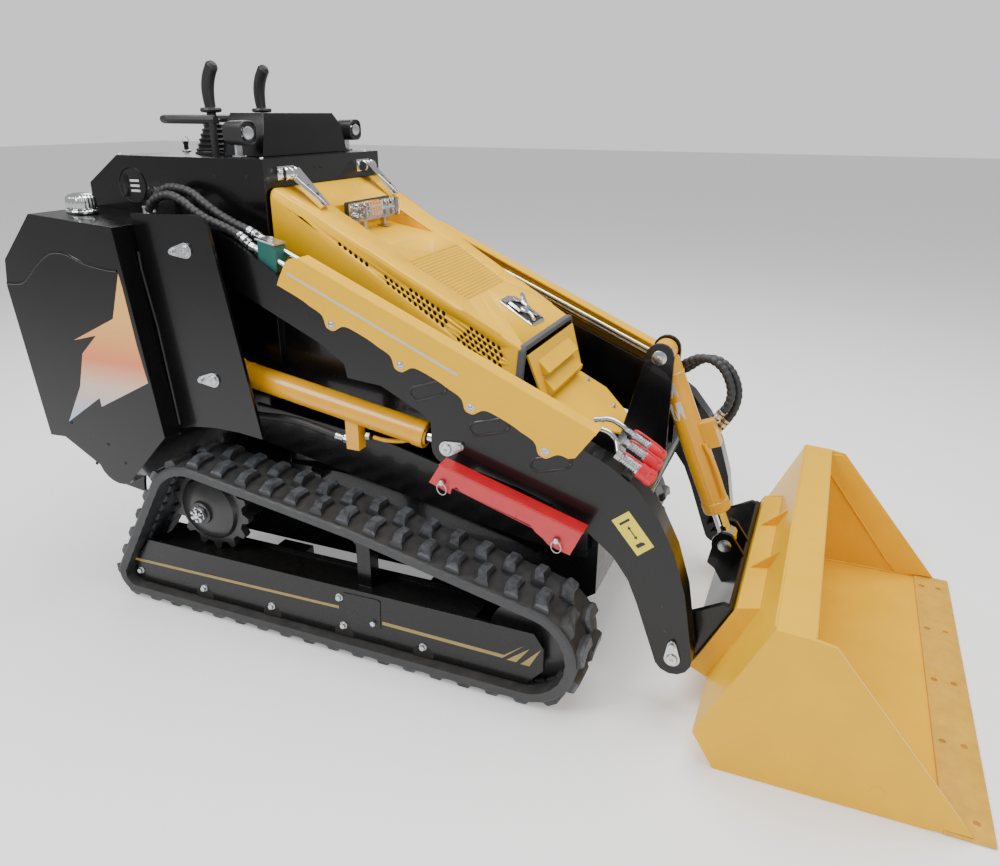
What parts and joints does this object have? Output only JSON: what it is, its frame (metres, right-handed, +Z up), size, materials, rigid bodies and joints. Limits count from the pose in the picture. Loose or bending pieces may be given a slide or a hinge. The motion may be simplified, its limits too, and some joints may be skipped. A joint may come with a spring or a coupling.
{
  "type": "stand-on mini skid steer loader",
  "caption": "Compact stand-on skid steer loader on rubber tracks, with raising arms, a tilting bucket, an opening hood and a fold-down operator platform.",
  "frame": {"origin": "on the ground under the middle of the machine, bucket included", "axes": "+X forwards to the bucket, +Y to the left side, +Z up"},
  "size_m": [2.5, 1.05, 1.4711],
  "materials": {
    "black_paint": "satin powder coat",
    "black_plastic": "matt",
    "cast_iron": "black enamel",
    "chrome": "polished",
    "lens": "clear",
    "red_paint": "satin",
    "rubber": "matt",
    "yellow_paint": "gloss powder coat",
    "zinc": "zinc plated"
  },
  "bodies": {
    "machine": {"chassis_frame": "black_paint", "control_tower": "black_paint", "dash_box": "black_paint", "engine_block": "cast_iron", "front_deck": "yellow_paint", "handle_bar": "black_plastic", "left_arm_hoses": "rubber", "left_cylinder_hose": "rubber", "left_filler_cap": "chrome", "left_headlight": "black_plastic", "left_idler": "cast_iron", "left_lever": "black_plastic", "left_pin_plate": "black_paint", "left_sprocket": "cast_iron", "left_tank": "black_paint", "left_track": "rubber", "left_track_frame": "black_paint", "louvre_panel": "yellow_paint", "right_arm_hoses": "rubber", "right_cylinder_hose": "rubber", "right_filler_cap": "chrome", "right_headlight": "black_plastic", "right_idler": "cast_iron", "right_lever": "black_plastic", "right_pin_plate": "black_paint", "right_sprocket": "cast_iron", "right_tank": "black_paint", "right_track": "rubber", "right_track_frame": "black_paint", "safety_bar": "red_paint"},
    "hood": {"hood": "yellow_paint", "strobe_light": "lens", "hood_latch": "chrome", "right_hood_hinge": "chrome", "left_hood_hinge": "chrome"},
    "platform": {"operator_platform": "black_paint"},
    "lift_arms": {"right_arm": "black_paint", "left_arm": "black_paint", "right_arm_guard": "yellow_paint", "left_arm_guard": "yellow_paint", "right_arm_pipes": "zinc", "left_arm_pipes": "zinc", "arm_crossmember": "black_paint", "coupler_bank": "zinc", "tilt_hoses": "rubber"},
    "right_lift_barrel": {"right_lift_barrel": "yellow_paint"},
    "left_lift_barrel": {"left_lift_barrel": "yellow_paint"},
    "right_lift_rod": {"right_lift_rod": "chrome"},
    "left_lift_rod": {"left_lift_rod": "chrome"},
    "tilt_barrel": {"tilt_barrel": "yellow_paint"},
    "tilt_rod": {"tilt_rod": "chrome"},
    "bucket": {"attach_plate": "black_paint", "bucket": "yellow_paint", "cutting_edge": "yellow_paint"}
  },
  "joints": [
    {"name": "lift", "type": "hinge", "parent": "machine", "child": "lift_arms", "pos_m": [-0.678, 0, 1.027], "axis": [0, -1, 0], "range_deg": [0, 70], "deforming": ["right_arm_hoses", "left_arm_hoses"]},
    {"name": "tilt", "type": "hinge", "parent": "lift_arms", "child": "bucket", "pos_m": [0.569, 0, 0.154], "axis": [0, -1, 0], "range_deg": [-105, 20]},
    {"name": "hood_open", "type": "hinge", "parent": "machine", "child": "hood", "pos_m": [-0.532, 0, 1.195], "axis": [0, -1, 0], "range_deg": [0, 70]},
    {"name": "platform_fold", "type": "hinge", "parent": "machine", "child": "platform", "pos_m": [-1.172, 0, 0.268], "axis": [0, -1, 0], "range_deg": [0, 90]},
    {"name": "right_lift_barrel_turn", "type": "hinge", "parent": "machine", "child": "right_lift_barrel", "pos_m": [-0.641, 0, 0.703], "axis": [0, -1, 0], "range_deg": [-1, 65], "deforming": ["right_cylinder_hose"]},
    {"name": "right_lift_rod_slide", "type": "slide", "parent": "right_lift_barrel", "child": "right_lift_rod", "axis": [0.9854, 0, -0.1704], "range_m": [-0.01, 0.372]},
    {"name": "left_lift_barrel_turn", "type": "hinge", "parent": "machine", "child": "left_lift_barrel", "pos_m": [-0.641, 0, 0.703], "axis": [0, -1, 0], "range_deg": [-1, 65], "deforming": ["left_cylinder_hose"]},
    {"name": "left_lift_rod_slide", "type": "slide", "parent": "left_lift_barrel", "child": "left_lift_rod", "axis": [0.9854, 0, -0.1704], "range_m": [-0.01, 0.372]},
    {"name": "tilt_barrel_turn", "type": "hinge", "parent": "lift_arms", "child": "tilt_barrel", "pos_m": [0.42, 0, 0.779], "axis": [0, -1, 0], "range_deg": [-6, 6], "deforming": ["tilt_hoses"]},
    {"name": "tilt_rod_slide", "type": "slide", "parent": "tilt_barrel", "child": "tilt_rod", "axis": [0.3948, 0, -0.9188], "range_m": [-0.055, 0.25]}
  ],
  "couplings": [
    {"joint": "right_lift_barrel_turn", "follows": "lift", "ratio": 0.90242},
    {"joint": "right_lift_rod_slide", "follows": "lift", "m_per_rad": 0.29593},
    {"joint": "left_lift_barrel_turn", "follows": "lift", "ratio": 0.90242},
    {"joint": "left_lift_rod_slide", "follows": "lift", "m_per_rad": 0.29593},
    {"joint": "tilt_barrel_turn", "follows": "tilt", "ratio": 0.0254},
    {"joint": "tilt_rod_slide", "follows": "tilt", "m_per_rad": -0.13135}
  ]
}
